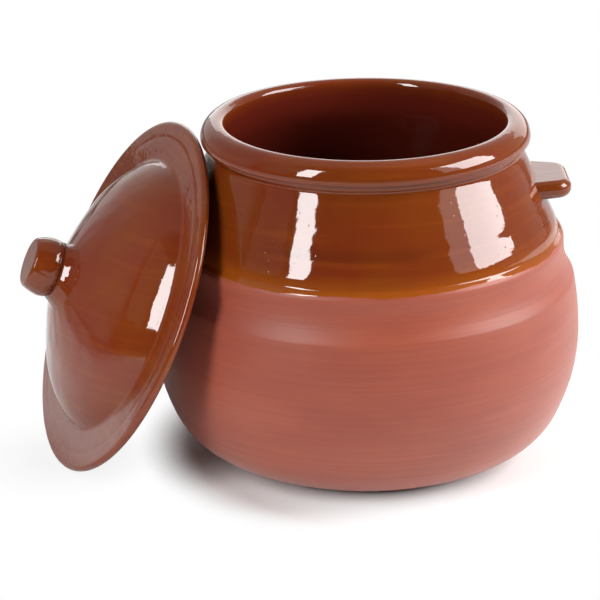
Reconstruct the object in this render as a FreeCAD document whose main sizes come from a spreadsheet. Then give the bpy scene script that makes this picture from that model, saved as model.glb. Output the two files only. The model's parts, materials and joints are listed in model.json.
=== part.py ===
import FreeCAD, Part
import math
import os
import Sketcher

# A round-bellied earthenware cooking pot with two lug handles, and its lid standing on
# edge beside it.  The origin is the middle of the pot's base, on the ground.  X runs
# along the lugs, Z is up, and the lid leans on the -X side.

# Every size that can be chosen by itself, in millimetres and degrees.
DRIVING_SIZES = (
    ("belly_radius", 125.0, "widest radius of the pot"),
    ("belly_height", 73.0, "height of the widest place"),
    ("base_inset", 49.0, "from the belly in to the edge of the flat base"),
    ("foot_angle", 24.5, "rise of the trimmed underside from the base"),
    ("flank_inset", 10.7, "from the belly in to the top of the heel curve"),
    ("flank_height", 26.6, "height of the top of the heel curve"),
    ("ridge_inset", 3.6, "from the belly in to the ridge"),
    ("ridge_rise", 34.4, "from the belly up to the ridge"),
    ("cove_depth", 6.3, "how far the cove cuts in above the ridge"),
    ("cove_rise", 18.7, "height of the cove"),
    ("band_rise", 5.4, "upright band over the cove, up to the edge of the glaze"),
    ("step_depth", 4.0, "step in over the band"),
    ("step_rise", 3.0, "height of that step"),
    ("collar_inset", 0.8, "taper of the collar over the step"),
    ("collar_rise", 5.0, "height of the collar"),
    ("shoulder_rise", 41.4, "from the collar up to the neck"),
    ("neck_inset", 33.5, "from the belly in to the neck"),
    ("neck_curve", 21.0, "radius of the curve from shoulder to neck"),
    ("neck_rise", 0.6, "upright part of the neck"),
    ("bead_rise", 5.8, "height of the bead under the rim"),
    ("bead_curve", 3.6, "radius of the bead"),
    ("bead_flare", 0.9, "how far the groove over the bead stands out from the neck"),
    ("groove_rise", 1.0, "from the groove up to the rim"),
    ("rim_flare", 3.1, "how far the rim stands out from the neck"),
    ("rim_curve", 10.3, "radius of the rolled rim"),
    ("rim_tuck", 1.7, "how far the roll turns under its widest place"),
    ("lip_curve", 3.8, "radius of the inner lip"),
    ("wall", 7.5, "thickness of the belly's wall"),
    ("shoulder_wall", 8.2, "level thickness of the shoulder's wall"),
    ("base_thickness", 9.0, "thickness of the base"),
    ("mouth_curve", 35.0, "radius of the curve from shoulder to mouth, inside"),
    ("edge_softness", 1.2, "rounding of the turned edges"),
    ("lug_top_drop", 35.3, "from the top of the rim down to the top of a lug"),
    ("lug_thickness", 10.5, "thickness of a lug"),
    ("lug_reach", 17.9, "how far a lug stands out from the shoulder"),
    ("lug_half_width", 19.5, "half the width of a lug at its outer edge"),
    ("lug_root_half_width", 24.0, "half the width of a lug where it is joined on"),
    ("lug_corner", 10.0, "radius of a lug's corners, seen from above"),
    ("lug_edge_round", 4.9, "rounding of a lug's edges"),
    ("lug_sweep", 2.0, "angle by which both lugs are set back"),
    ("lid_overhang", 11.2, "how far the brim reaches past the rim"),
    ("brim_thickness", 5.0, "thickness of the brim"),
    ("brim_lip_width", 6.3, "width of the raised lip along the brim's edge"),
    ("brim_lip_curve", 8.0, "radius of that lip"),
    ("brim_groove_width", 3.0, "width of the groove inside the lip"),
    ("brim_groove_depth", 0.7, "depth of that groove"),
    ("dome_setback", 13.1, "from the rim's radius in to the foot of the dome"),
    ("dome_foot_angle", 54.0, "slope of the dome at its foot"),
    ("dome_curve", 59.0, "radius of the dome's shoulder"),
    ("dome_slope", 26.0, "slope of the dome under the knob"),
    ("dome_wall", 4.0, "thickness of the dome's wall"),
    ("dome_foot_fillet", 2.5, "radius between the dome and the brim"),
    ("crown_radius", 11.0, "radius of the dome's flat crown, which the knob hides"),
    ("crown_thickness", 8.0, "thickness of the lid at its crown"),
    ("crown_curve", 20.0, "radius inside the crown"),
    ("stem_radius", 17.0, "radius of the stem under the knob"),
    ("stem_rise", 1.4, "how far the stem stands over the dome"),
    ("stem_flare", 10.0, "radius from the stem into the dome"),
    ("stem_bed", 1.5, "how deep the stem is pressed into the slip on the dome"),
    ("seam_width", 1.4, "width of the groove between stem and knob"),
    ("seam_depth", 0.8, "depth of that groove"),
    ("knob_height", 15.8, "height of the knob"),
    ("knob_foot_radius", 16.7, "radius of the knob at the seam"),
    ("knob_belly_radius", 17.3, "widest radius of the knob"),
    ("knob_belly_rise", 5.0, "from the seam up to the knob's widest place"),
    ("knob_face_radius", 14.3, "radius of the knob's flat end"),
    ("knob_shoulder_curve", 30.0, "radius of the knob's side over its widest place"),
    ("knob_edge_round", 2.2, "rounding of the knob's end"),
    ("knob_tilt", 5.5, "lean of the knob, which was set by hand"),
    ("knob_shift_up", 1.8, "how far the knob sits off the lid's middle, up the slope"),
    ("knob_shift_across", 4.1, "how far it sits off the middle, across the slope"),
    ("lean_azimuth", 199.57, "way in which the lid's knob points, seen from above"),
    ("lean_tilt", 65.46, "angle between the lid's axis and upright"),
    ("lean_offset", 36.2, "how far the lid stands to the front of the pot's middle"),
    ("lean_gap", 0.3, "gap left between the leaning lid and the pot"),
)

# Places that follow from those sizes.  The angles are in degrees.
WORKED_OUT = (
    ("base_radius", "belly_radius - base_inset"),
    ("flank_radius", "belly_radius - flank_inset"),
    ("flank_drop", "belly_height - flank_height"),
    ("belly_lower_curve", "(flank_inset^2 + flank_drop^2) / (2 * flank_inset)"),
    ("flank_angle", "90 - atan(flank_drop / (belly_lower_curve - flank_inset))"
                    " / 1deg"),
    ("heel_curve", "(flank_height * cos(foot_angle)"
                   " - (flank_radius - base_radius) * sin(foot_angle))"
                   " / (1 - cos(flank_angle - foot_angle))"),
    ("heel_centre_radius", "flank_radius - heel_curve * sin(flank_angle)"),
    ("heel_centre_height", "flank_height + heel_curve * cos(flank_angle)"),
    ("belly_upper_curve", "(ridge_inset^2 + ridge_rise^2) / (2 * ridge_inset)"),
    ("ridge_radius", "belly_radius - ridge_inset"),
    ("ridge_height", "belly_height + ridge_rise"),
    ("band_radius", "ridge_radius - cove_depth"),
    ("band_height", "ridge_height + cove_rise"),
    ("cove_curve", "(cove_depth^2 + cove_rise^2) / (2 * cove_depth)"),
    ("glaze_height", "band_height + band_rise"),
    ("step_height", "glaze_height + step_rise"),
    ("collar_radius", "band_radius - step_depth - collar_inset"),
    ("collar_height", "step_height + collar_rise"),
    ("neck_radius", "belly_radius - neck_inset"),
    ("neck_height", "collar_height + shoulder_rise"),
    ("shoulder_fall", "collar_radius - neck_radius"),
    ("shoulder_angle", "(asin(neck_curve / sqrt(shoulder_rise^2"
                       " + (neck_curve - shoulder_fall)^2))"
                       " - atan((neck_curve - shoulder_fall) / shoulder_rise)) / 1deg"),
    ("neck_foot_radius", "neck_radius + neck_curve * (1 - cos(shoulder_angle))"),
    ("neck_foot_height", "neck_height - neck_curve * sin(shoulder_angle)"),
    ("groove_height", "neck_height + neck_rise + bead_rise"),
    ("rim_radius", "neck_radius + rim_flare"),
    ("rim_centre_radius", "rim_radius - rim_curve"),
    ("rim_centre_height", "groove_height + groove_rise + rim_tuck"),
    ("rim_height", "rim_centre_height + rim_curve"),
    ("mouth_radius", "rim_centre_radius - lip_curve"),
    ("inner_line_radius", "collar_radius - shoulder_wall"),
    ("mouth_curve_foot_radius", "mouth_radius + mouth_curve * (1 - cos(shoulder_angle))"),
    ("mouth_curve_foot_height", "collar_height"
                                " + (inner_line_radius - mouth_curve_foot_radius)"
                                " / tan(shoulder_angle)"),
    ("mouth_curve_top_height", "mouth_curve_foot_height + mouth_curve * sin(shoulder_angle)"),
    ("inner_belly_radius", "belly_radius - wall"),
    ("inner_upper_curve", "((inner_line_radius - inner_belly_radius) * cos(shoulder_angle)"
                          " + (collar_height - belly_height) * sin(shoulder_angle))"
                          " / (1 - cos(shoulder_angle))"),
    ("inner_shoulder_radius", "inner_belly_radius"
                              " - inner_upper_curve * (1 - cos(shoulder_angle))"),
    ("inner_shoulder_height", "belly_height + inner_upper_curve * sin(shoulder_angle)"),
    ("inner_heel_curve", "heel_curve - wall"),
    ("inner_heel_height", "heel_centre_height - inner_heel_curve * cos(foot_angle)"),
    ("inner_heel_radius", "heel_centre_radius + inner_heel_curve * sin(foot_angle)"),
    ("floor_curve", "(inner_heel_height - base_thickness) / (1 - cos(foot_angle))"),
    ("lug_top", "rim_height - lug_top_drop"),
    ("lug_middle", "lug_top - lug_thickness / 2"),
    ("lug_root_radius", "collar_radius - (lug_middle - collar_height) * tan(shoulder_angle)"),
    ("lug_nose_radius", "lug_root_radius + lug_reach"),
    ("lug_inner_radius", "lug_root_radius - shoulder_wall"),
    ("lug_side_angle", "atan((lug_root_half_width - lug_half_width) / lug_reach) / 1deg"),
    ("lug_corner_length", "lug_corner * tan((90 - lug_side_angle) / 2)"),
    ("lid_radius", "rim_radius + lid_overhang"),
    ("edge_round", "brim_thickness / 2"),
    ("lip_outer_radius", "lid_radius - edge_round"),
    ("lip_inner_radius", "lip_outer_radius - brim_lip_width"),
    ("groove_inner_radius", "lip_inner_radius - brim_groove_width"),
    ("dome_foot_radius", "rim_radius - dome_setback"),
    ("dome_centre_radius", "dome_foot_radius - dome_curve * sin(dome_foot_angle)"),
    ("dome_centre_height", "brim_thickness - dome_curve * cos(dome_foot_angle)"),
    ("dome_shoulder_radius", "dome_centre_radius + dome_curve * sin(dome_slope)"),
    ("dome_shoulder_height", "dome_centre_height + dome_curve * cos(dome_slope)"),
    ("seat_height", "dome_shoulder_height + stem_rise"
                    " + (dome_shoulder_radius - stem_radius) * tan(dome_slope)"),
    ("crown_height", "dome_shoulder_height"
                     " + (dome_shoulder_radius - crown_radius) * tan(dome_slope)"),
    ("flare_lift", "(stem_rise + stem_bed) * cos(dome_slope)"),
    ("flare_reach", "sqrt(2 * stem_flare * flare_lift - flare_lift^2)"),
    ("flare_foot_radius", "stem_radius - flare_lift * sin(dome_slope)"
                          " + flare_reach * cos(dome_slope)"),
    ("flare_foot_drop", "flare_lift * cos(dome_slope) + flare_reach * sin(dome_slope)"),
    ("hollow_curve", "dome_curve - dome_wall"),
    ("hollow_radius", "dome_centre_radius + sqrt(hollow_curve^2 - dome_centre_height^2)"),
    ("hollow_shoulder_radius", "dome_centre_radius + hollow_curve * sin(dome_slope)"),
    ("hollow_shoulder_height", "dome_centre_height + hollow_curve * cos(dome_slope)"),
    ("ceiling_height", "crown_height - crown_thickness"),
    ("ceiling_corner_radius", "hollow_shoulder_radius"
                              " - (ceiling_height - hollow_shoulder_height)"
                              " / tan(dome_slope)"),
    ("crown_corner_length", "crown_curve * tan(dome_slope / 2)"),
    ("knob_lower_curve", "(knob_belly_rise^2 + (knob_belly_radius - knob_foot_radius)^2)"
                         " / (2 * (knob_belly_radius - knob_foot_radius))"),
)

# A shape that is out by less than this is as good as exact, mm.
CLOSE = 0.001

doc = FreeCAD.newDocument("Saucepan")


# The sheet of sizes
sheet = doc.addObject("Spreadsheet::Sheet", "Sizes")
row = 1
for name, value, note in DRIVING_SIZES:
    sheet.set("A%d" % row, name)
    sheet.set("B%d" % row, str(value))
    sheet.set("C%d" % row, note)
    sheet.setAlias("B%d" % row, name)
    row += 1
for name, formula in WORKED_OUT:
    sheet.set("A%d" % row, name)
    sheet.set("B%d" % row, "=" + formula)
    sheet.setAlias("B%d" % row, name)
    row += 1
doc.recompute()


def size(name):
    """One value of the sheet as a plain number."""
    value = getattr(sheet, name)
    return float(getattr(value, "Value", value))


def number(formula):
    """What a formula over the sheet's names comes to, as a plain number."""
    value = sheet.evalExpression(formula)
    return float(getattr(value, "Value", value))


def bound(formula):
    """The same formula as another object of the document has to write it."""
    names = sorted((entry[0] for entry in DRIVING_SIZES + WORKED_OUT), key=len, reverse=True)
    text = ""
    place = 0
    while place < len(formula):
        word = ""
        while place < len(formula) and (formula[place].isalnum() or formula[place] == "_"):
            word += formula[place]
            place += 1
        text += "Sizes." + word if word in names else word
        if place < len(formula) and not word:
            text += formula[place]
            place += 1
    return text


class Outline:
    """A closed outline in a sketch, drawn from corner to corner.

    Each corner is held by its two distances from the origin, and each round stretch by
    its radius.  All of them are formulas over the sheet.
    """

    def __init__(self, body, plane, name):
        self.sketch = body.newObject("Sketcher::SketchObject", name)
        for feature in body.Origin.OriginFeatures:
            if feature.Role == plane:
                self.sketch.AttachmentSupport = (feature, [""])
        self.sketch.MapMode = "FlatFace"
        self.corners = []
        self.pieces = []

    def corner(self, across, up):
        """Start the outline, or end its next straight stretch, at a place."""
        if self.corners:
            self.pieces.append(None)
        self.corners.append((across, up))

    def curve(self, across, up, radius, turn):
        """End the next stretch, an arc that turns left (1) or right (-1), at a place."""
        self.pieces.append((radius, turn))
        self.corners.append((across, up))

    def close(self):
        """Draw the stretches, the last one straight back to the start."""
        self.pieces.append(None)
        points = [FreeCAD.Vector(number(a), number(b), 0) for a, b in self.corners]
        ends = []
        for index, piece in enumerate(self.pieces):
            first = points[index]
            last = points[(index + 1) % len(points)]
            if piece is None:
                drawn = self.sketch.addGeometry(Part.LineSegment(first, last), False)
                ends.append((drawn, 1, 2))
            else:
                drawn = self.sketch.addGeometry(self.arc(first, last, piece), False)
                ends.append((drawn, 1, 2) if piece[1] > 0 else (drawn, 2, 1))
                self.hold("Radius", (drawn,), piece[0])
        for index, (drawn, start, end) in enumerate(ends):
            after, after_start, after_end = ends[(index + 1) % len(ends)]
            self.sketch.addConstraint(
                Sketcher.Constraint("Coincident", drawn, end, after, after_start))
            across, up = self.corners[index]
            self.hold("DistanceX", (-1, 1, drawn, start), across)
            self.hold("DistanceY", (-1, 1, drawn, start), up)
        return self.sketch

    def arc(self, first, last, piece):
        """The arc of a radius between two places, shorter than a half turn."""
        radius = number(piece[0])
        chord = last - first
        half = chord.Length / 2
        height = math.sqrt(max(radius * radius - half * half, 0))
        side = FreeCAD.Vector(-chord.y, chord.x, 0).normalize() * (height * piece[1])
        centre = (first + last) * 0.5 + side
        begin, finish = (first, last) if piece[1] > 0 else (last, first)
        circle = Part.Circle(centre, FreeCAD.Vector(0, 0, 1), radius)
        angles = [math.atan2(p.y - centre.y, p.x - centre.x) for p in (begin, finish)]
        return Part.ArcOfCircle(circle, angles[0], angles[1])

    def hold(self, kind, where, formula):
        """Add one distance or radius and bind it to the sheet."""
        value = number(formula)
        if kind != "Radius" and abs(value) < CLOSE:
            axis = -2 if kind == "DistanceX" else -1
            self.sketch.addConstraint(
                Sketcher.Constraint("PointOnObject", where[2], where[3], axis))
            return
        index = self.sketch.addConstraint(Sketcher.Constraint(kind, *where, value))
        self.sketch.setExpression("Constraints[%d]" % index, bound(formula))


def turned(body, sketch, name):
    """The solid that a sketch sweeps when it turns once round the body's upright axis."""
    revolution = body.newObject("PartDesign::Revolution", name)
    revolution.Profile = sketch
    revolution.ReferenceAxis = (sketch, ["V_Axis"])
    revolution.Angle = 360.0
    sketch.Visibility = False
    doc.recompute()
    return revolution


def round_edges(shape, places):
    """The names of a turned shape's full round edges at the given radii and heights."""
    names = []
    for index, edge in enumerate(shape.Edges):
        if not isinstance(edge.Curve, Part.Circle):
            continue
        centre = edge.Curve.Center
        for across, up in places:
            if abs(edge.Curve.Radius - number(across)) < CLOSE * 10:
                if abs(centre.z - number(up)) < CLOSE * 10:
                    names.append("Edge%d" % (index + 1))
    return names


def soften(body, base, places, radius, name):
    """Round the edges of a turned shape at the given places."""
    fillet = body.newObject("PartDesign::Fillet", name)
    fillet.Base = (base, round_edges(base.Shape, places))
    fillet.setExpression("Radius", bound(radius))
    doc.recompute()
    return fillet


# The pot, thrown on the wheel and turned: one wall from base to rim.
pot = doc.addObject("PartDesign::Body", "PotBody")
pot.Label = "pot_body"
outline = Outline(pot, "XZ_Plane", "PotOutline")
outline.corner("0", "0")
outline.corner("base_radius", "0")
outline.corner("heel_centre_radius + heel_curve * sin(foot_angle)",
               "heel_centre_height - heel_curve * cos(foot_angle)")
outline.curve("flank_radius", "flank_height", "heel_curve", 1)
outline.curve("belly_radius", "belly_height", "belly_lower_curve", 1)
outline.curve("ridge_radius", "ridge_height", "belly_upper_curve", 1)
outline.curve("band_radius", "band_height", "cove_curve", -1)
outline.corner("band_radius", "glaze_height")
outline.corner("band_radius - step_depth", "step_height")
outline.corner("collar_radius", "collar_height")
outline.corner("neck_foot_radius", "neck_foot_height")
outline.curve("neck_radius", "neck_height", "neck_curve", -1)
outline.corner("neck_radius", "neck_height + neck_rise")
outline.curve("neck_radius + bead_flare", "groove_height", "bead_curve", 1)
outline.corner("rim_centre_radius + sqrt(rim_curve^2 - rim_tuck^2)",
               "groove_height + groove_rise")
outline.curve("rim_centre_radius", "rim_height", "rim_curve", 1)
outline.curve("mouth_radius", "rim_height - lip_curve", "lip_curve", 1)
outline.corner("mouth_radius", "mouth_curve_top_height")
outline.curve("mouth_curve_foot_radius", "mouth_curve_foot_height", "mouth_curve", 1)
outline.corner("inner_shoulder_radius", "inner_shoulder_height")
outline.curve("inner_belly_radius", "belly_height", "inner_upper_curve", -1)
outline.curve("heel_centre_radius + inner_heel_curve * sin(flank_angle)",
              "heel_centre_height - inner_heel_curve * cos(flank_angle)",
              "belly_lower_curve - wall", -1)
outline.curve("inner_heel_radius", "inner_heel_height", "inner_heel_curve", -1)
outline.curve("inner_heel_radius - floor_curve * sin(foot_angle)", "base_thickness",
              "floor_curve", -1)
outline.corner("0", "base_thickness")
pot_wall = turned(pot, outline.close(), "PotWall")
soften(pot, pot_wall,
       (("ridge_radius", "ridge_height"),
        ("band_radius", "glaze_height"),
        ("collar_radius", "collar_height")),
       "edge_softness", "TurnedEdges")


def lug_handle(name, label, azimuth):
    """One solid lug, a flattened strap of clay cut to fit the cone of the shoulder."""
    strap = doc.addObject("PartDesign::Body", name + "Strap")
    plan = Outline(strap, "XY_Plane", name + "Plan")
    back = "lug_inner_radius"
    spread = "(lug_root_half_width + shoulder_wall * tan(lug_side_angle))"
    side_in = "lug_nose_radius - lug_corner_length * cos(lug_side_angle)"
    side_out = "(lug_half_width + lug_corner_length * sin(lug_side_angle))"
    nose = "(lug_half_width - lug_corner_length)"
    plan.corner(back, "0 - " + spread)
    plan.corner(side_in, "0 - " + side_out)
    plan.curve("lug_nose_radius", "0 - " + nose, "lug_corner", 1)
    plan.corner("lug_nose_radius", nose)
    plan.curve(side_in, side_out, "lug_corner", 1)
    plan.corner(back, spread)
    pad = strap.newObject("PartDesign::Pad", name + "Pad")
    pad.Profile = plan.close()
    pad.setExpression("Length", bound("lug_thickness"))
    doc.recompute()
    rims = []
    for index, edge in enumerate(pad.Shape.Edges):
        middle = edge.valueAt((edge.FirstParameter + edge.LastParameter) / 2)
        level = abs(edge.BoundBox.ZLength) < CLOSE
        if level and middle.x > size("lug_inner_radius") + CLOSE:
            rims.append("Edge%d" % (index + 1))
    rounding = strap.newObject("PartDesign::Fillet", name + "Rounding")
    rounding.Base = (pad, rims)
    rounding.setExpression("Radius", bound("min(lug_edge_round; lug_thickness * 0.48)"))
    strap.setExpression("Placement.Base.z", bound("lug_top - lug_thickness"))
    cone = doc.addObject("Part::Cone", name + "Seat")
    cone.setExpression("Radius1", bound("collar_radius"))
    cone.setExpression("Radius2", bound("neck_foot_radius"))
    cone.setExpression("Height", bound("neck_foot_height - collar_height"))
    cone.setExpression("Placement.Base.z", bound("collar_height"))
    lug = doc.addObject("Part::Cut", name)
    lug.Base = strap
    lug.Tool = cone
    lug.Label = label
    lug.Placement = FreeCAD.Placement(
        FreeCAD.Vector(), FreeCAD.Rotation(FreeCAD.Vector(0, 0, 1), azimuth))
    doc.recompute()
    return lug


handle_right = lug_handle("HandleRight", "handle_right", size("lug_sweep"))
handle_left = lug_handle("HandleLeft", "handle_left", 180 - size("lug_sweep"))


# The lid, in its own place: the middle of its brim's underside is at the origin.
lid = doc.addObject("PartDesign::Body", "Lid")
lid.Label = "lid"
outline = Outline(lid, "XZ_Plane", "LidOutline")
outline.corner("0", "ceiling_height")
outline.corner("ceiling_corner_radius - crown_corner_length", "ceiling_height")
outline.curve("ceiling_corner_radius + crown_corner_length * cos(dome_slope)",
              "ceiling_height - crown_corner_length * sin(dome_slope)", "crown_curve", -1)
outline.corner("hollow_shoulder_radius", "hollow_shoulder_height")
outline.curve("hollow_radius", "0", "hollow_curve", -1)
outline.corner("lip_outer_radius", "0")
outline.curve("lid_radius", "edge_round", "edge_round", 1)
outline.curve("lip_outer_radius", "brim_thickness", "edge_round", 1)
outline.curve("lip_inner_radius", "brim_thickness", "brim_lip_curve", 1)
outline.corner("lip_inner_radius - brim_groove_width / 2",
               "brim_thickness - brim_groove_depth")
outline.corner("groove_inner_radius", "brim_thickness")
outline.corner("dome_foot_radius", "brim_thickness")
outline.curve("dome_shoulder_radius", "dome_shoulder_height", "dome_curve", 1)
outline.corner("crown_radius", "crown_height")
outline.corner("0", "crown_height")
lid_wall = turned(lid, outline.close(), "LidWall")
soften(lid, lid_wall, (("dome_foot_radius", "brim_thickness"),), "dome_foot_fillet",
       "DomeFoot")


# The knob, a disc of clay on a short stem, pressed onto the lid's crown by hand, off its
# middle and a little askew.  A groove runs along the seam of stem and knob, and the stem
# is cut to fit the cone of the dome.  The seam's middle is the knob's own origin.
knob_blank = doc.addObject("PartDesign::Body", "KnobBlank")
outline = Outline(knob_blank, "XZ_Plane", "KnobOutline")
outline.corner("0", "0 - flare_foot_drop - stem_bed")
outline.corner("flare_foot_radius", "0 - flare_foot_drop - stem_bed")
outline.corner("flare_foot_radius", "0 - flare_foot_drop")
outline.curve("stem_radius", "0 - seam_width / 2", "stem_flare", -1)
outline.corner("stem_radius - seam_depth", "0")
outline.corner("knob_foot_radius", "seam_width / 2")
outline.curve("knob_belly_radius", "knob_belly_rise", "knob_lower_curve", 1)
outline.curve("knob_face_radius", "knob_height", "knob_shoulder_curve", 1)
outline.corner("0", "knob_height")
knob_form = turned(knob_blank, outline.close(), "KnobForm")
soften(knob_blank, knob_form, (("knob_face_radius", "knob_height"),), "knob_edge_round",
       "KnobEdge")
knob_blank.Placement = FreeCAD.Placement(
    FreeCAD.Vector(), FreeCAD.Rotation(FreeCAD.Vector(-1, 0, 0), size("knob_tilt")))
knob_blank.setExpression("Placement.Base.x", bound("knob_shift_up"))
knob_blank.setExpression("Placement.Base.y", bound("knob_shift_across"))
knob_blank.setExpression("Placement.Base.z", bound("seat_height"))
crown = doc.addObject("Part::Cone", "CrownSpace")
crown.setExpression("Radius1", bound("dome_shoulder_radius"))
crown.setExpression("Radius2", bound("crown_radius"))
crown.setExpression("Height", bound("crown_height - dome_shoulder_height"))
crown.setExpression("Placement.Base.z", bound("dome_shoulder_height"))
lid_knob = doc.addObject("Part::Cut", "LidKnob")
lid_knob.Base = knob_blank
lid_knob.Tool = crown
lid_knob.Label = "lid_knob"
doc.recompute()


# The lid's place, on edge on the ground and leaning on the pot.
azimuth = math.radians(size("lean_azimuth"))
lean = math.radians(size("lean_tilt"))
outward = FreeCAD.Vector(math.cos(azimuth), math.sin(azimuth), 0)
sideways = FreeCAD.Vector(-math.sin(azimuth), math.cos(azimuth), 0)
upright = FreeCAD.Vector(0, 0, 1)
lid_axis = outward * math.sin(lean) + upright * math.cos(lean)
up_slope = upright * math.sin(lean) - outward * math.cos(lean)
across_slope = lid_axis.cross(up_slope)


def lid_placement(distance):
    """Stand the lid on edge with its brim's middle that far out from the pot's axis."""
    height = (size("lid_radius") - size("edge_round")) * math.sin(lean) + size("edge_round")
    middle = outward * distance - sideways * size("lean_offset") + upright * height
    place = middle - lid_axis * size("edge_round")
    turn = FreeCAD.Rotation(up_slope, across_slope, lid_axis, "ZXY")
    return FreeCAD.Placement(place, turn)


def faces_of(shape, wanted):
    """The faces of a shape that a test picks, as one compound."""
    return Part.makeCompound([face for face in shape.Faces if wanted(face.BoundBox)])


# Only the pot's neck and rim, its left lug and the underside of the lid can meet.
underside = faces_of(lid.Shape, lambda box: box.ZMax < size("ceiling_height") + CLOSE)
neighbours = (faces_of(pot.Shape, lambda box: box.ZMin > size("neck_foot_height") - CLOSE),
              handle_left.Shape)


def room(distance):
    """The least gap from the lid to the pot and its left lug with the lid that far out."""
    underside.Placement = lid_placement(distance)
    return min(underside.distToShape(shape)[0] for shape in neighbours)


# With its underside flat against the rim the lid is a little too far out, or too far in
# where a lug stands further out than the rim.  From there it moves out until it is clear,
# and then slides in until only the gap is left.
rim_reach = (size("rim_centre_radius") * math.sin(lean)
             + size("rim_centre_height") * math.cos(lean) + size("rim_curve"))
clear = ((rim_reach + size("lean_gap") + size("edge_round")
          - lid_placement(0).Base.z * math.cos(lean)) / math.sin(lean))
STEP = 2.0
while room(clear) < size("lean_gap"):
    clear += STEP
while room(clear - STEP) > size("lean_gap"):
    clear -= STEP
tight = clear - STEP
while clear - tight > 10 * CLOSE:
    half_way = (clear + tight) / 2
    if room(half_way) > size("lean_gap"):
        clear = half_way
    else:
        tight = half_way
lid.Placement = lid_placement(clear)
lid_knob.Placement = lid_placement(clear)
doc.recompute()

for item in doc.Objects:
    if "Invalid" in item.State or "Error" in item.State:
        raise RuntimeError("%s failed: %s" % (item.Label, item.State))
os.makedirs("parts", exist_ok=True)
for part in (pot, handle_left, handle_right, lid, lid_knob):
    shape = part.Shape
    if shape.isNull() or not shape.isValid():
        raise RuntimeError("%s has no valid shape" % part.Label)
    shape.exportStep("parts/%s.step" % part.Label)
    box = shape.BoundBox
    print("%-13s %9.0f mm3  x %.2f..%.2f  y %.2f..%.2f  z %.2f..%.2f" % (
        part.Label, shape.Volume, box.XMin, box.XMax, box.YMin, box.YMax, box.ZMin, box.ZMax))
print("lid stands %.2f out, axis (%.4f, %.4f, %.4f)" % (clear, *lid_axis))
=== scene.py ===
import json
import math

import bpy
import numpy as np
from mathutils import Matrix, Vector


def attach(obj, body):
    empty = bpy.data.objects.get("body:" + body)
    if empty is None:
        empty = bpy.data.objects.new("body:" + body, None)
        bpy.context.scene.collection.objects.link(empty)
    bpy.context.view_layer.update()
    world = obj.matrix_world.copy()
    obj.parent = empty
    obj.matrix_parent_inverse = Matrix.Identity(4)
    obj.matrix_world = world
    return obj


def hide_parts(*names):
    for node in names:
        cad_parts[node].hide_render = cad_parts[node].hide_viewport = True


# A round-bellied earthenware cooking pot with two lug handles, its upper part glazed, and
# its loose lid standing on edge against it.  Everything is in metres.
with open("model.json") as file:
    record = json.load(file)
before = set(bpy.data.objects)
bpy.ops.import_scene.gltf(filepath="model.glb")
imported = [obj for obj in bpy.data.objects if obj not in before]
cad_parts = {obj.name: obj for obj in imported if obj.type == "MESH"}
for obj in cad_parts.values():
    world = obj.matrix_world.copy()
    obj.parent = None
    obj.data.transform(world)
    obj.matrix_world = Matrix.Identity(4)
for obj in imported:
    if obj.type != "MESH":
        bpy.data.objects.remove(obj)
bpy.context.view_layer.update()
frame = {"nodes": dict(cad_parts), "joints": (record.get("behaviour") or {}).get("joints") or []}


# The pot: one wall of red clay, thrown on the wheel and turned, from its flat base up to
# the rolled rim.  It was dipped mouth down in glaze as far as the band over its ridge and
# glazed all over inside.  The lower half is bare clay that still shows the turning.
POT_OUTSIDE = (
    (0.0, 0.0),
    (0.0760, 0.0),
    (0.09668, 0.00942),
    (0.1143, 0.0266, 0.03639, 1),
    (0.1250, 0.0730, 0.10596, 1),
    (0.1214, 0.1074, 0.16616, 1),
    (0.1151, 0.1261, 0.03090, -1),
    (0.1151, 0.1295),
    (0.1135, 0.1327, 0.0040, 1),
    (0.1111, 0.1345),
    (0.1103, 0.1395),
    (0.0904, 0.1814),
    (0.0899, 0.1836, 0.0052, -1),
    (0.0899, 0.1840),
    (0.0915, 0.1878, 0.0024, 1),
    (0.09446, 0.1883),
    (0.0843, 0.2003, 0.0103, 1),
)
POT_INSIDE = (
    (0.0843, 0.2003),
    (0.0805, 0.1965, 0.0038, 1),
    (0.0805, 0.18972),
    (0.08442, 0.17361, 0.0350, 1),
    (0.10058, 0.14244),
    (0.1175, 0.0730, 0.15093, -1),
    (0.10756, 0.02988, 0.09846, -1),
    (0.09357, 0.01625, 0.02889, -1),
    (0.06019, 0.0090, 0.08049, -1),
    (0.0, 0.0090),
)
POT_AROUND = 420
OUTSIDE_POINTS = 152
INSIDE_POINTS = 76
POT_EDGE_SOFTNESS = 0.0006
GLAZE_EDGE_HEIGHT = 0.1322
GLAZE_COAT = 0.00025
BACK_OF_RIM_DROP = 0.0014
GLAZE_EDGE_WIDTH = 0.0006
EDGE_SWAY = 0.0011
EDGE_WAVER = 0.0005
MEAN_HOLLOW = 0.00012
HAND_WAVES = 0.00022
GLAZE_WAVES = 0.00012
RING_DEPTH = 0.00003
RING_PITCH = 0.0062
CREASE_HEIGHT = 0.152
CREASE_DEPTH = 0.00035
CREASE_WIDTH = 0.0016
CREASE_TURN = math.radians(80)
CREASE_SHADE_TURN = math.radians(95)
CREASE_SHADE_DEPTH = 0.0003
DARK_BELOW = 0.1995
DARK_OVER = 0.009


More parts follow.
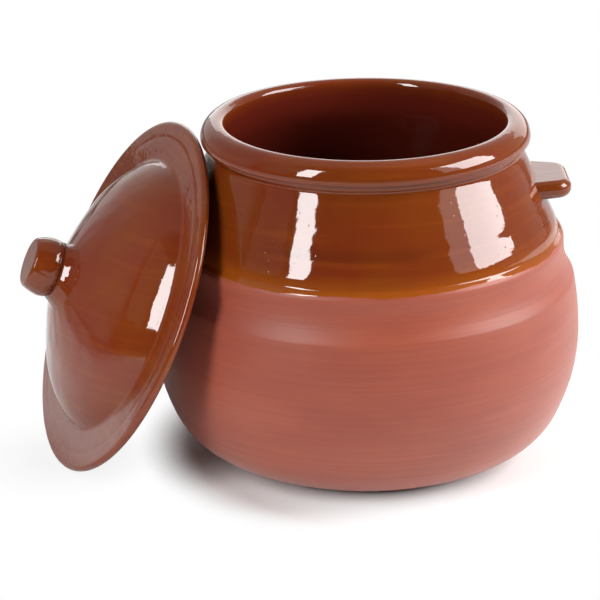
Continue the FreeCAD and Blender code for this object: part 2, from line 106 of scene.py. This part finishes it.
def turned_profile(corners, count, softness):
    """Points along a turned outline, closer together where it bends.

    A corner is a radius and a height that end a straight stretch, or with a curve's radius
    and its turn, left 1 or right -1, that end an arc.  The stretches are drawn a fifth of a
    millimetre apart, blurred over the softness, and thinned to count points by walking
    along the length plus a share of the angle turned through.
    """
    step = 0.0002
    drawn = [np.array([corners[0][:2]])]
    for before, corner in zip(corners, corners[1:]):
        start = np.array(before[:2])
        end = np.array(corner[:2])
        chord = end - start
        length = np.hypot(*chord)
        if len(corner) == 2:
            share = np.linspace(0, 1, max(int(length / step), 2) + 1)[1:, None]
            drawn.append(start + chord * share)
            continue
        radius, turn = corner[2:]
        rise = math.sqrt(max(radius**2 - length**2 / 4, 0.0))
        centre = (start + end) / 2 + turn * rise * np.array([-chord[1], chord[0]]) / length
        sweep = 2 * turn * math.asin(min(length / (2 * radius), 1.0))
        begin = math.atan2(start[1] - centre[1], start[0] - centre[0])
        share = np.linspace(0, 1, max(int(abs(sweep) * radius / step), 3) + 1)[1:]
        angle = begin + sweep * share
        drawn.append(centre + radius * np.stack([np.cos(angle), np.sin(angle)], 1))
    line = np.concatenate(drawn)
    reach = int(3 * softness / step)
    weight = np.exp(-0.5 * (np.arange(-reach, reach + 1) * step / softness) ** 2)
    weight /= weight.sum()
    head = 2 * line[0] - line[reach:0:-1]
    tail = 2 * line[-1] - line[-2 : -reach - 2 : -1]
    padded = np.concatenate([head, line, tail])
    soft = np.stack([np.convolve(padded[:, k], weight, "valid") for k in (0, 1)], 1)
    leg = np.diff(soft, axis=0)
    heading = np.unwrap(np.arctan2(leg[:, 1], leg[:, 0]))
    bend = np.abs(np.gradient(heading))
    bend_share = 0.014
    walked = np.concatenate([[0.0], np.cumsum(np.hypot(*leg.T) + bend_share * bend)])
    wanted = np.linspace(0, walked[-1], count)
    return np.stack([np.interp(wanted, walked, soft[:, k]) for k in (0, 1)], 1)


def ripple(angle, height, seed, length, depth):
    """How far a hand-made wall stands out of true, as a smooth uneven field.

    It is the sum of six sine waves over the angle round the wheel and the height, each
    with its own whole number of waves round the turn, so that it closes on itself.  The
    girth over the length limits that number.
    """
    girth = 0.62
    numbers = np.random.default_rng(seed)
    field = np.zeros(np.broadcast(angle, height).shape)
    for _ in range(6):
        around = numbers.integers(1, max(int(girth / length), 2))
        up = numbers.normal(0, 2 * math.pi / length)
        shift = numbers.uniform(0, 2 * math.pi)
        field += np.sin(around * angle + up * height + shift)
    return depth * field / 6


def laid_round(profile, count):
    """Grids of angle, radius and height, with the profile repeated at count angles."""
    angle = 2 * math.pi * np.arange(count)[None, :] / count
    return angle, np.repeat(profile[:, :1], count, 1), np.repeat(profile[:, 1:], count, 1)


def turned_surface(name, radius, height):
    """A mesh from grids of radius and height over profile steps and angles round the axis.

    Row i and column j of the grids hold the point (r cos a, r sin a, h) with
    a = 2 pi j / columns.  The first and last rows close on one point each on the axis.
    """
    rows, columns = radius.shape
    angle = 2 * math.pi * np.arange(columns) / columns
    points = np.stack([radius * np.cos(angle), radius * np.sin(angle), height], -1)
    first = np.array([[0.0, 0.0, height[0].mean()]])
    last = np.array([[0.0, 0.0, height[-1].mean()]])
    body = points[1:-1].reshape(-1, 3)
    vertices = np.concatenate([first, body, last])
    ring = np.arange(columns)
    after = (ring + 1) % columns
    start = 1 + columns * np.arange(rows - 3)[:, None]
    quads = np.stack([start + ring, start + after, start + columns + after,
                      start + columns + ring], -1).reshape(-1, 4)
    end = 1 + columns * (rows - 3)
    bottom = np.stack([np.zeros(columns, int), 1 + after, 1 + ring], 1)
    top = np.stack([end + ring, end + after, np.full(columns, len(vertices) - 1)], 1)
    mesh = bpy.data.meshes.new(name)
    mesh.from_pydata(vertices.tolist(), [], quads.tolist() + bottom.tolist() + top.tolist())
    mesh.shade_smooth()
    piece = bpy.data.objects.new(name, mesh)
    bpy.context.scene.collection.objects.link(piece)
    return piece


def grid_values(values):
    """One value per vertex of a turned surface, from a grid over its rows and columns."""
    return np.concatenate([[values[0].mean()], values[1:-1].ravel(), [values[-1].mean()]])


def add_attribute(piece, name, values):
    """Store one number per vertex of the piece under that name."""
    attribute = piece.data.attributes.new(name, "FLOAT", "POINT")
    attribute.data.foreach_set("value", values.astype(np.float32))


outside = turned_profile(POT_OUTSIDE, OUTSIDE_POINTS, POT_EDGE_SOFTNESS)
inside = turned_profile(POT_INSIDE, INSIDE_POINTS, POT_EDGE_SOFTNESS)
pot_profile = np.concatenate([outside, inside[1:]])
pot_angle, pot_radius, pot_height = laid_round(pot_profile, POT_AROUND)
on_outside = (np.arange(len(pot_profile)) < OUTSIDE_POINTS)[:, None]
edge_height = GLAZE_EDGE_HEIGHT + ripple(pot_angle, 0.0, 7, 0.06, EDGE_SWAY)
edge_height = edge_height + ripple(pot_angle, 0.0, 8, 0.012, EDGE_WAVER)
over_edge = np.where(on_outside, pot_height - edge_height, 1.0)
coated = np.clip(over_edge / GLAZE_EDGE_WIDTH + 0.5, 0, 1)
coated = coated * coated * (3 - 2 * coated)
# Waves and rings fade out towards the foot and towards the middle of the floor.
walls = np.clip(pot_radius / 0.06 - 1, 0, 1) * np.clip(pot_height / 0.006, 0, 1)
hollows = MEAN_HOLLOW + ripple(pot_angle, pot_height, 3, 0.045, HAND_WAVES)
hollows = hollows + coated * ripple(pot_angle, pot_height, 4, 0.022, GLAZE_WAVES)
rings = RING_DEPTH * np.sin(2 * math.pi * pot_height / RING_PITCH + 1.5 * np.sin(pot_angle))
# The crease is a bell curve over the height, deepest at the front, where it also gets painted
# shade.
crease = CREASE_DEPTH * np.exp(-(((pot_height - CREASE_HEIGHT) / CREASE_WIDTH) ** 2))
crease = crease * on_outside * (0.55 + 0.45 * np.cos(pot_angle + CREASE_TURN))
# Painted shade darkens the crease at the front, as far as the crease is deep.
crease_shade_front = np.clip(np.cos(pot_angle + CREASE_SHADE_TURN) * 9 - 7.8, 0, 1)
in_crease = crease_shade_front * crease / CREASE_SHADE_DEPTH
pot_radius = pot_radius - walls * np.maximum(hollows + rings, 0) - crease
pot_radius = pot_radius - np.where(on_outside, walls * GLAZE_COAT * (1 - coated), 0)
# The back half of the rim sinks a little, from 160 mm up to the full drop at 200 mm.
back = np.clip(np.sin(pot_angle), 0, 1) ** 2
pot_height = pot_height - BACK_OF_RIM_DROP * back * np.clip(pot_height / 0.04 - 4, 0, 1)
pot = turned_surface("pot_of_clay", pot_radius, pot_height)
add_attribute(pot, "over_edge", grid_values(over_edge))
# Inside, from just under the rim downwards, the glaze takes painted shade.
inside_shade = np.where(on_outside, 0.0, np.clip((DARK_BELOW - pot_height) / DARK_OVER, 0, 1))
add_attribute(pot, "inside_shade", grid_values(inside_shade))
add_attribute(pot, "in_crease", grid_values(in_crease))


def add_node(tree, kind, settings=None, **sockets):
    """Add a node, set its properties, and fill its input sockets with values or outputs.

    A socket is named in lower case with underscores, and a number picks it by its place.
    """
    node = tree.nodes.new(kind)
    for key, value in (settings or {}).items():
        setattr(node, key, value)
    for key, value in sockets.items():
        if key.startswith("input_"):
            socket = node.inputs[int(key[6:])]
        else:
            wanted = key.replace("_", " ")
            socket = next(s for s in node.inputs if s.name.lower() == wanted and s.enabled)
        if isinstance(value, bpy.types.NodeSocket):
            tree.links.new(value, socket)
        else:
            socket.default_value = value
    return node


def stored(tree, name):
    """The number that the mesh stores under that name at each vertex."""
    return add_node(tree, "ShaderNodeAttribute", {"attribute_name": name}).outputs["Fac"]


def reckoned(tree, operation, first, second):
    """The result of one sum, difference, product or maximum of two values."""
    node = add_node(tree, "ShaderNodeMath", {"operation": operation}, input_0=first,
                    input_1=second)
    return node.outputs[0]


def ramp(tree, value, low, high, to_low=0.0, to_high=1.0):
    """A value stretched from the range low to high onto another range, and clamped."""
    node = add_node(tree, "ShaderNodeMapRange", value=value, from_min=low, from_max=high,
                    to_min=to_low, to_max=to_high)
    return node.outputs["Result"]


def mixed(tree, share, first, second):
    """A blend of two colours by a share from 0 to 1."""
    node = add_node(tree, "ShaderNodeMix", {"data_type": "RGBA"}, input_0=share)
    for socket, value in ((node.inputs[6], first), (node.inputs[7], second)):
        if isinstance(value, bpy.types.NodeSocket):
            tree.links.new(value, socket)
        else:
            socket.default_value = (*value, 1)
    return node.outputs[2]


def stretched_noise(tree, place, across, up, detail=3.0, roughness=0.5):
    """Noise over the object's own coordinates, with its own size across and up, per metre."""
    mapping = add_node(tree, "ShaderNodeMapping", vector=place, scale=(across, across, up))
    noise = add_node(tree, "ShaderNodeTexNoise", vector=mapping.outputs[0], scale=1.0,
                     detail=detail, roughness=roughness)
    return noise.outputs["Fac"]


def raised(tree, height, depth, below=None):
    """A bump of that depth in metres, laid over the one below."""
    node = add_node(tree, "ShaderNodeBump", strength=1.0, distance=depth, height=height)
    if below is not None:
        tree.links.new(below, node.inputs["Normal"])
    return node.outputs["Normal"]


GLAZE_BROWN = (0.155, 0.030, 0.0038)
GLAZE_RED = (0.148, 0.021, 0.0046)
GLAZE_HONEY = (0.30, 0.070, 0.0055)
# Painted shade: darker glazes for the pot's shaded inside and for shaded creases and grooves.
GLAZE_INSIDE_SHADE = (0.098, 0.011, 0.0058)
GLAZE_GROOVE_SHADE = (0.07, 0.014, 0.003)
GLAZE_SPECK = (0.09, 0.015, 0.004)
WAVE_DEPTH = 0.00015
LINE_DEPTH = 0.00005
PEEL_DEPTH = 0.000007
PINHOLE_DEPTH = 0.00006
PINHOLE_CELLS = 240.0
CLAY_SALMON = (0.33, 0.070, 0.034)
CLAY_PINK = (0.29, 0.057, 0.029)
CLAY_DARK = (0.22, 0.040, 0.022)
TOOL_MARK_DEPTH = 0.00022
GRAIN_DEPTH = 0.00006


def glaze_shader(tree, place, honey=None, inside=None, dark=None, tint=1.0, lined=1.0):
    """Clear brown glaze over red clay, as one shader.

    Its colour wanders between brown and red, brightened by the tint, runs in streaks round
    the wheel, and turns to honey, to the painted shade of the pot's inside or to the painted
    shade of a crease or groove by the shares that are given.  Its skin has slow waves,
    throwing lines, as deep as lined says, a fine orange peel and pinholes.
    """
    clouds = ramp(tree, stretched_noise(tree, place, 28, 28), 0.35, 0.65)
    brown = tuple(tint * part for part in GLAZE_BROWN)
    red = tuple(tint * part for part in GLAZE_RED)
    colour = mixed(tree, clouds, brown, red)
    streaks = ramp(tree, stretched_noise(tree, place, 14, 330), 0.5, 0.72, 0.0, 0.2)
    colour = mixed(tree, streaks, colour, GLAZE_HONEY)
    if honey is not None:
        colour = mixed(tree, honey, colour, GLAZE_HONEY)
    # Painted shade: the pot's shaded inside, then the shade in a crease or groove.
    if inside is not None:
        colour = mixed(tree, inside, colour, GLAZE_INSIDE_SHADE)
    if dark is not None:
        colour = mixed(tree, dark, colour, GLAZE_GROOVE_SHADE)
    specks = ramp(tree, stretched_noise(tree, place, 620, 620, 2.0), 0.69, 0.75, 0.0, 0.35)
    colour = mixed(tree, specks, colour, GLAZE_SPECK)
    waves = raised(tree, stretched_noise(tree, place, 90, 90, 2.0), WAVE_DEPTH)
    throwing = stretched_noise(tree, place, 22, 300, 2.0)
    lines = raised(tree, throwing, LINE_DEPTH * lined, waves)
    peel = raised(tree, stretched_noise(tree, place, 700, 700, 2.0), PEEL_DEPTH, lines)
    cells = add_node(tree, "ShaderNodeTexVoronoi", vector=place, scale=PINHOLE_CELLS)
    sparse = ramp(tree, stretched_noise(tree, place, 160, 160, 1.0), 0.5, 0.6)
    hole = ramp(tree, cells.outputs["Distance"], 0.04, 0.12, 1.0, 0.0)
    skin = raised(tree, reckoned(tree, "MULTIPLY", hole, sparse), -PINHOLE_DEPTH, peel)
    shader = add_node(tree, "ShaderNodeBsdfPrincipled", base_color=colour, roughness=0.045,
                      ior=1.52, normal=skin)
    return shader.outputs[0]


def clay_shader(tree, place):
    """Bare fired clay: dull, gritty, and finely ringed by the turning tool."""
    clouds = ramp(tree, stretched_noise(tree, place, 16, 40), 0.35, 0.65)
    colour = mixed(tree, clouds, CLAY_PINK, CLAY_SALMON)
    rings = ramp(tree, stretched_noise(tree, place, 9, 420, 4.0), 0.4, 0.7, 0.0, 0.42)
    colour = mixed(tree, rings, colour, CLAY_DARK)
    grit = ramp(tree, stretched_noise(tree, place, 1500, 1500, 2.0), 0.55, 0.75, 0.0, 0.3)
    colour = mixed(tree, grit, colour, CLAY_DARK)
    tool = raised(tree, stretched_noise(tree, place, 6, 520, 4.0, 0.6), TOOL_MARK_DEPTH)
    grit_skin = stretched_noise(tree, place, 1300, 1300, 3.0, 0.6)
    grain = raised(tree, grit_skin, GRAIN_DEPTH, tool)
    shader = add_node(tree, "ShaderNodeBsdfPrincipled", base_color=colour, roughness=0.45,
                      ior=1.45, sheen_weight=0.2, normal=grain)
    return shader.outputs[0]


def new_material(name):
    """An empty node material, its tree, and the object's own coordinates in it."""
    material = bpy.data.materials.new(name)
    material.use_nodes = True
    tree = material.node_tree
    tree.nodes.clear()
    place = add_node(tree, "ShaderNodeTexCoord").outputs["Object"]
    return material, tree, place


def finish_material(tree, shader):
    """Send the shader to the surface."""
    add_node(tree, "ShaderNodeOutputMaterial", surface=shader)


pot_finish, tree, place = new_material("dipped_pot")
edge = stored(tree, "over_edge")
thick = ramp(tree, edge, 0.0, 0.011, 0.85, 0.0)
# Painted shade darkens the crease at the front and the inside below the rim.
crease_shade = ramp(tree, stored(tree, "in_crease"), 0.0, 1.0, 0.0, 0.7)
glazed = glaze_shader(tree, place, thick, stored(tree, "inside_shade"), crease_shade)
bare = clay_shader(tree, place)
cover = ramp(tree, edge, -0.0002, 0.0002)
both = add_node(tree, "ShaderNodeMixShader", input_0=cover, input_1=bare, input_2=glazed)
finish_material(tree, both.outputs[0])
pot.data.materials.append(pot_finish)
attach(pot, "pot")
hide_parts("pot_body")


# The two lugs: short solid ears of clay luted on the shoulder and dipped with it, so that
# the same glaze runs over them.  Their shape is the CAD model's.
lug_finish, tree, place = new_material("glazed_lug")
finish_material(tree, glaze_shader(tree, place))
for lug in ("handle_left", "handle_right"):
    mesh = frame["nodes"][lug].data
    mesh.materials.clear()
    mesh.materials.append(lug_finish)


# The lid: a thrown disc with a flat brim, a fine groove round it and a hollow dome, glazed
# all over.  It stands on its edge and leans on the pot's rim.
LID_EDGE_RADIUS = 0.1058
LID_OUTLINE = (
    (0.0, 0.03907),
    (0.01366, 0.03907),
    (0.02243, 0.03705, 0.0200, -1),
    (0.05788, 0.01975),
    (0.08007, 0.0, 0.0550, -1),
    (0.1033, 0.0),
    (LID_EDGE_RADIUS, 0.0025, 0.0025, 1),
    (0.1033, 0.0050, 0.0025, 1),
    (0.0970, 0.0050),
    (0.0957, 0.00488),
    (0.0944, 0.0050),
    (0.0832, 0.0050),
    (0.0804, 0.0064, 0.0030, -1),
    (0.05963, 0.02335, 0.0590, 1),
    (0.0110, 0.0430, 0.3760, 1),
    (0.0, 0.0430),
)
LID_AROUND = 400
LID_POINTS = 190
LID_EDGE_SOFTNESS = 0.0004
LID_HOLLOWS = 0.00018
# The lid's own axes run up its slope, across it, and outwards along its joint.  Its place is
# the middle of the brim's underside.
lid_axis = Vector(frame["joints"][0]["axis"]).normalized()
up_slope = (Vector((0, 0, 1)) - lid_axis * lid_axis.z).normalized()
across_slope = lid_axis.cross(up_slope)
lid_axes = np.array([up_slope, across_slope, lid_axis])
lid_points = np.zeros(3 * len(frame["nodes"]["lid"].data.vertices))
frame["nodes"]["lid"].data.vertices.foreach_get("co", lid_points)
lid_spread = lid_points.reshape(-1, 3) @ lid_axes.T
lid_middle = (lid_spread.max(0) + lid_spread.min(0)) / 2
lid_middle[2] = lid_spread[:, 2].min()
lid_place = lid_middle @ lid_axes


def stand(piece, axes, place):
    """Turn and move the piece's own vertices, point p going to place + p times the axes."""
    turn = Matrix([[*axes[:, row], place[row]] for row in range(3)] + [[0, 0, 0, 1]])
    piece.data.transform(turn)
    piece.data.update()


lid_profile = turned_profile(LID_OUTLINE, LID_POINTS, LID_EDGE_SOFTNESS)
lid_angle, lid_radius, lid_height = laid_round(lid_profile, LID_AROUND)
# Only the outer side, past the outline's widest point, has hollows.  They deepen over the
# first 30 mm from the axis and fade out between 70 and 80 mm.
on_top = (np.arange(LID_POINTS) > lid_profile[:, 0].argmax())[:, None]
lid_hollows = MEAN_HOLLOW + ripple(lid_angle, lid_radius, 21, 0.030, LID_HOLLOWS)
lid_hollows = lid_hollows * np.clip(8 - lid_radius / 0.01, 0, 1)
lid_hollows = lid_hollows * np.clip(lid_radius / 0.03, 0, 1)
lid_height = lid_height - on_top * np.maximum(lid_hollows, 0)
lid = turned_surface("lid_of_clay", lid_radius, lid_height)
stand(lid, lid_axes, lid_place)
lid_finish, tree, place = new_material("glazed_lid")
finish_material(tree, glaze_shader(tree, place, tint=1.2, lined=0.4))
lid.data.materials.append(lid_finish)
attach(lid, "lid")
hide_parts("lid")


# The knob: a disc of clay on a short flared stem, pressed onto the lid's crown by hand, a
# little off its middle and askew, with painted shade darkening the groove along the seam.
KNOB_OUTLINE = (
    (0.0, -0.0050),
    (0.0150, -0.0050),
    (0.0300, -0.0106),
    (0.0300, -0.0098),
    (0.0223, -0.0067),
    (0.0171, -0.0006, 0.0080, -1),
    (0.0159, 0.0),
    (0.0167, 0.0007),
    (0.0173, 0.0050, 0.02113, 1),
    (0.01474, 0.01416, 0.0300, 1),
    (0.01223, 0.0158, 0.0022, 1),
    (0.0, 0.0158),
)
KNOB_TILT = math.radians(5.5)
KNOB_SHIFT_UP = 0.0018
KNOB_SHIFT_ACROSS = 0.0041
KNOB_SEAM_HEIGHT = 0.04554
STEM_HEIGHT = 0.0062
KNOB_AROUND = 200
KNOB_POINTS = 120
KNOB_EDGE_SOFTNESS = 0.00025
KNOB_DENTS = 0.00022
MEAN_DENT = 0.00010
SEAM_WIDTH = 0.0006
SEAM_RADIUS = 0.0145
knob_profile = turned_profile(KNOB_OUTLINE, KNOB_POINTS, KNOB_EDGE_SOFTNESS)
knob_angle, knob_radius, knob_height = laid_round(knob_profile, KNOB_AROUND)
dent = MEAN_DENT + ripple(knob_angle, knob_height, 31, 0.02, KNOB_DENTS)
knob_radius = knob_radius - np.maximum(dent, 0) * np.clip(knob_radius / 0.012 - 0.5, 0, 1)
knob = turned_surface("knob_of_clay", knob_radius, knob_height)
in_seam = np.exp(-((knob_height / SEAM_WIDTH) ** 2)) * (knob_radius > SEAM_RADIUS)
add_attribute(knob, "in_seam", grid_values(in_seam))
# Each point turns by the tilt in the plane of across and out, and then shifts.  Both grow
# from nothing at the stem's foot to their whole at the seam.
spots = np.zeros(3 * len(knob.data.vertices))
knob.data.vertices.foreach_get("co", spots)
up, across, out = spots.reshape(-1, 3).T
moved = np.clip(1 + out / STEM_HEIGHT, 0, 1)
tip = KNOB_TILT * moved
leaning = np.stack([up + KNOB_SHIFT_UP * moved,
                    across * np.cos(tip) + out * np.sin(tip) + KNOB_SHIFT_ACROSS * moved,
                    out * np.cos(tip) - across * np.sin(tip)], 1)
knob.data.vertices.foreach_set("co", leaning.ravel())
stand(knob, lid_axes, lid_place + KNOB_SEAM_HEIGHT * lid_axes[2])
knob_finish, tree, place = new_material("glazed_knob")
# Painted shade darkens the groove along the seam.
seam_shade = ramp(tree, stored(tree, "in_seam"), 0.0, 1.0, 0.0, 0.85)
finish_material(tree, glaze_shader(tree, place, dark=seam_shade, tint=1.1))
knob.data.materials.append(knob_finish)
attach(knob, "lid")
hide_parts("lid_knob")


# The floor: a plain pale sheet.  Away from the pot it shows as pure white to the camera,
# and a ring of it glows white in gloss alone, a painted reflection.  Near the pot and the
# lid's foot it keeps the shadows.
FLOOR_HALF = 8.0
# Shadows are whole within the first radius and gone by the others, at the left and the
# right.  The lid's foot keeps the one share of its shadow, and the middle loses the other.
SHADOW_KEPT = 0.104
SHADOW_ENDS_LEFT = 0.14
SHADOW_ENDS_RIGHT = 0.18
LID_FOOT_KEEPS = 0.2
MIDDLE_LOSES = 0.6
NEAR_GREY = (0.88, 0.88, 0.88)
FAR_GREY = (0.60, 0.60, 0.60)
floor_mesh = bpy.data.meshes.new("floor")
floor_corners = [(-FLOOR_HALF, -FLOOR_HALF, 0), (FLOOR_HALF, -FLOOR_HALF, 0),
                 (FLOOR_HALF, FLOOR_HALF, 0), (-FLOOR_HALF, FLOOR_HALF, 0)]
floor_mesh.from_pydata(floor_corners, [], [(0, 1, 2, 3)])
floor = bpy.data.objects.new("floor", floor_mesh)
bpy.context.scene.collection.objects.link(floor)
floor_finish, tree, place = new_material("white_sheet")
away = add_node(tree, "ShaderNodeVectorMath", {"operation": "LENGTH"}, vector=place)
away = away.outputs["Value"]
soft = {"interpolation_type": "SMOOTHSTEP"}
sideways = add_node(tree, "ShaderNodeSeparateXYZ", vector=place).outputs["X"]
shadow_ends = ramp(tree, sideways, 0.03, 0.08, SHADOW_ENDS_LEFT, SHADOW_ENDS_RIGHT)
outward = add_node(tree, "ShaderNodeMapRange", soft, value=away, from_min=SHADOW_KEPT,
                   from_max=shadow_ends).outputs["Result"]
lid_foot = lid_place - LID_EDGE_RADIUS * lid_axes[0]
foot_away = add_node(tree, "ShaderNodeVectorMath", {"operation": "DISTANCE"}, input_0=place,
                     input_1=tuple(lid_foot)).outputs["Value"]
kept_at_foot = ramp(tree, foot_away, 0.015, 0.06, LID_FOOT_KEEPS, 0.0)
outward = reckoned(tree, "SUBTRACT", outward, kept_at_foot)
middle = reckoned(tree, "MULTIPLY", ramp(tree, away, 0.078, 0.095, 0.0, MIDDLE_LOSES),
                  ramp(tree, sideways, -0.07, 0.0))
middle = reckoned(tree, "MULTIPLY", middle, ramp(tree, sideways, 0.04, 0.08, 1.0, 0.3))
fade = reckoned(tree, "MAXIMUM", outward, middle)
rays = add_node(tree, "ShaderNodeLightPath")
seen = reckoned(tree, "MULTIPLY", rays.outputs["Is Camera Ray"], fade)
# A ring round the pot glows white for gloss alone, painting a bright reflection on it.
glowing_ring = reckoned(tree, "MULTIPLY", ramp(tree, away, 0.2, 0.3),
                    ramp(tree, away, 0.5, 0.8, 1.0, 0.0))
mirrored = reckoned(tree, "MULTIPLY", rays.outputs["Is Glossy Ray"], glowing_ring)
seen = reckoned(tree, "MAXIMUM", seen, mirrored)
grey = mixed(tree, ramp(tree, away, 0.3, 0.8), NEAR_GREY, FAR_GREY)
matt = add_node(tree, "ShaderNodeBsdfDiffuse", color=grey)
white = add_node(tree, "ShaderNodeEmission", strength=1.0)
sheet = add_node(tree, "ShaderNodeMixShader", input_0=seen, input_1=matt.outputs[0],
                 input_2=white.outputs[0])
finish_material(tree, sheet.outputs[0])
floor.data.materials.append(floor_finish)


# The light: a tall strip at the left front, a wide soft box at the right, dim panels beside
# both and at the back, a fill at the right, and a pale room that is dark behind the camera.
LIGHT_AIM = Vector((-0.03, -0.05, 0.13))


def soft_box(name, azimuth, elevation, distance, wide, tall, brightness, fill=False):
    """A lamp that faces the pot, its sides given as the angles that it fills from there.

    All angles are in degrees.  Its power is pi times its area times the brightness of its
    face.  A fill lamp lights the pot without showing in its gloss.
    """
    flat = math.radians(azimuth)
    up = math.radians(elevation)
    way = Vector((math.cos(flat) * math.cos(up), math.sin(flat) * math.cos(up), math.sin(up)))
    lamp = bpy.data.lights.new(name, "AREA")
    lamp.shape = "RECTANGLE"
    lamp.size = 2 * distance * math.tan(math.radians(wide / 2))
    lamp.size_y = 2 * distance * math.tan(math.radians(tall / 2))
    lamp.energy = math.pi * lamp.size * lamp.size_y * brightness
    holder = bpy.data.objects.new(name, lamp)
    holder.location = LIGHT_AIM + way * distance
    holder.rotation_euler = way.to_track_quat("Z", "Y").to_euler()
    holder.visible_glossy = not fill
    bpy.context.scene.collection.objects.link(holder)


soft_box("strip_left", -131.5, 32, 1.3, 11.5, 40, 18.0)
soft_box("soft_box_right", -6, 30, 1.4, 29, 32, 13.0)
soft_box("dim_panel_right", -28, 30, 1.4, 12, 34, 1.7)
soft_box("dim_panel_left", -155, 33, 1.4, 22, 42, 0.2)
soft_box("back_panel", 78, 14, 1.6, 56, 24, 1.2)
soft_box("fill_right", 22, 22, 1.5, 44, 40, 2.3, fill=True)
world = bpy.data.worlds.new("pale_room")
bpy.context.scene.world = world
world.use_nodes = True
tree = world.node_tree
tree.nodes.clear()
way = add_node(tree, "ShaderNodeTexCoord").outputs["Generated"]
depth = add_node(tree, "ShaderNodeSeparateXYZ", vector=way).outputs["Y"]
shade = add_node(tree, "ShaderNodeValToRGB", fac=ramp(tree, depth, -1.0, 1.0))
# Each stop is a share of the way from the room's front to its back, and the grey there.
stops = ((0.0, 0.03), (0.25, 0.05), (0.42, 0.07), (0.5, 0.36), (0.7, 0.32), (0.86, 0.43),
         (1.0, 0.95))
while len(shade.color_ramp.elements) < len(stops):
    shade.color_ramp.elements.new(0.5)
for element, (where, grey) in zip(shade.color_ramp.elements, stops):
    element.position = where
    element.color = (grey, grey, grey, 1)
rays = add_node(tree, "ShaderNodeLightPath")
room = mixed(tree, rays.outputs["Is Camera Ray"], shade.outputs["Color"], (1, 1, 1))
background = add_node(tree, "ShaderNodeBackground", color=room, strength=1.0)
add_node(tree, "ShaderNodeOutputWorld", surface=background.outputs[0])
bpy.context.scene.view_settings.view_transform = "Standard"


# The camera: a long lens 1.3 metres in front of the pot and above it, looking down on it
# at 21 degrees, with a slight roll.
CAMERA_PLACE = Vector((-0.01151, -1.31896, 0.59266))
CAMERA_YAW = 0.02057
CAMERA_PITCH = 0.3654
CAMERA_ROLL = 0.0145
LENS_PER_SENSOR = 4.0
ahead = Vector((-math.sin(CAMERA_YAW) * math.cos(CAMERA_PITCH),
                math.cos(CAMERA_YAW) * math.cos(CAMERA_PITCH), -math.sin(CAMERA_PITCH)))
level = Vector((math.cos(CAMERA_YAW), math.sin(CAMERA_YAW), 0))
down = ahead.cross(level)
right_hand = level * math.cos(CAMERA_ROLL) + down * math.sin(CAMERA_ROLL)
below = down * math.cos(CAMERA_ROLL) - level * math.sin(CAMERA_ROLL)
camera = bpy.data.cameras.new("camera")
camera.sensor_width = 36.0
camera.lens = camera.sensor_width * LENS_PER_SENSOR
camera.clip_end = 50.0
camera_stand = bpy.data.objects.new("camera", camera)
turn = Matrix((right_hand, -below, -ahead)).transposed().to_4x4()
camera_stand.matrix_world = Matrix.Translation(CAMERA_PLACE) @ turn
bpy.context.scene.collection.objects.link(camera_stand)
bpy.context.scene.camera = camera_stand
